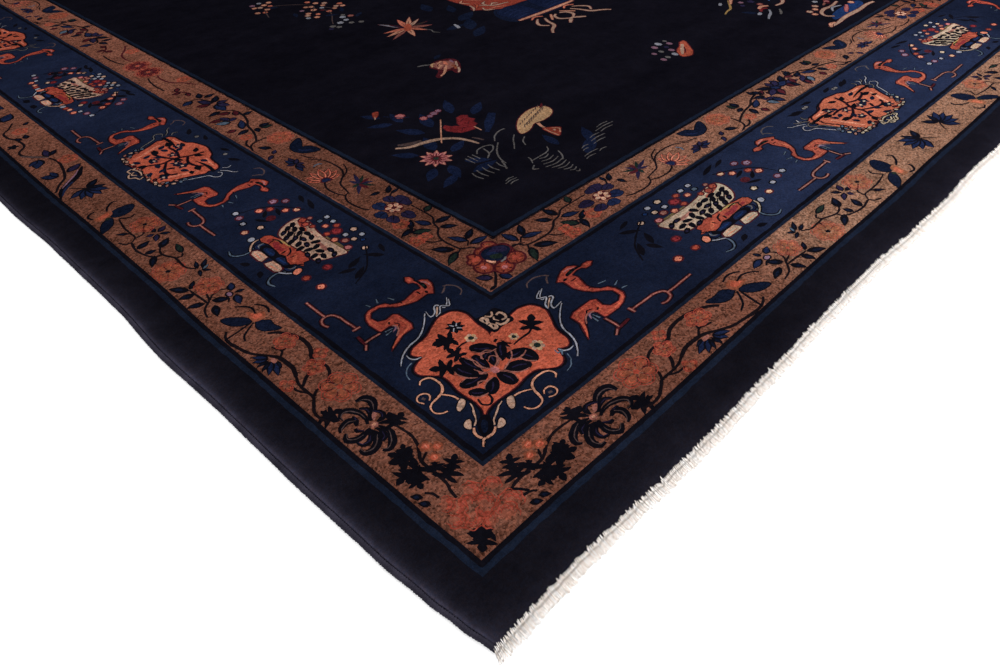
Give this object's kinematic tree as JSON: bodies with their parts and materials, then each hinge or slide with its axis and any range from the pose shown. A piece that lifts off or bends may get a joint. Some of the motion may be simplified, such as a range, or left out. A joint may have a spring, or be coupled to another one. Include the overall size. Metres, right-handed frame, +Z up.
{
  "type": "peking rug",
  "caption": "Rectangular knotted wool rug with a dark field, patterned borders, overcast long sides and a short cotton fringe at both ends.",
  "frame": {"origin": "on the floor under the middle of the rug", "axes": "+X across the rug, +Y along the rug, +Z up from the floor"},
  "size_m": [3.056, 3.6623, 0.009],
  "materials": {
    "pile": "cut wool pile with a soft sheen, near-black navy",
    "side_cord": "wool yarn wrapped over the outer warps",
    "fringe": "plied cotton warp ends, off-white"
  },
  "bodies": {
    "root": {"pile_slab": "pile", "side_cord_near": "side_cord", "side_cord_far": "side_cord", "fringe_near": "fringe", "fringe_far": "fringe"}
  },
  "joints": []
}
